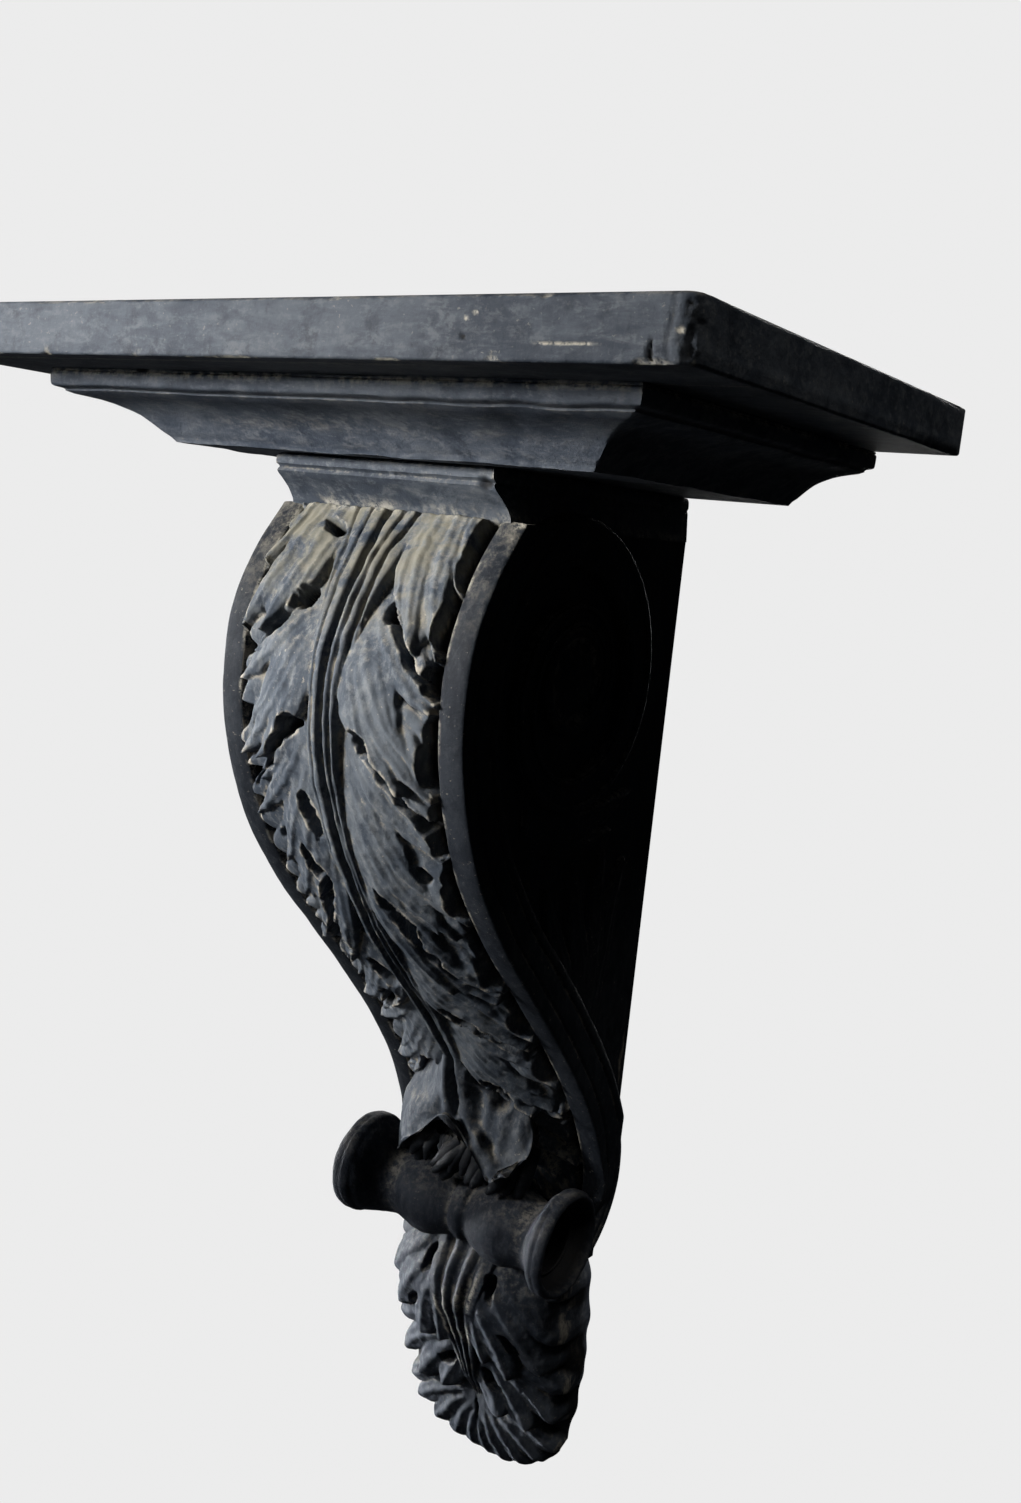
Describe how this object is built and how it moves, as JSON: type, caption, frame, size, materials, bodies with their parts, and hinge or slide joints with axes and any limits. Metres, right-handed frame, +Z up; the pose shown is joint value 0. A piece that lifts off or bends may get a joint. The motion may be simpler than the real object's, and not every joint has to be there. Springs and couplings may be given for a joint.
{
  "type": "corbel shelf",
  "caption": "Wall shelf with a moulded board carried by a scroll corbel, its front carved with an acanthus leaf, a roll at the foot and a leaf hanging below.",
  "frame": {"origin": "on the wall plane, in the middle of the corbel's flat back, 0.300 m below the top of the board", "axes": "+X along the shelf front, +Y into the wall, +Z up"},
  "size_m": [0.5, 0.338, 0.793],
  "materials": {
    "slab_paint": "matte slate paint over cast plaster, with pale chips and dust along the edges",
    "moulding_paint": "matte slate paint over cast plaster, with pale dust in the joints",
    "corbel_paint": "matte slate paint over cast plaster, worn pale on the ridges and nearly black in the hollows"
  },
  "bodies": {
    "root": {"shelf_slab": "slab_paint", "bed_moulding": "moulding_paint", "corbel": "corbel_paint"}
  },
  "joints": []
}
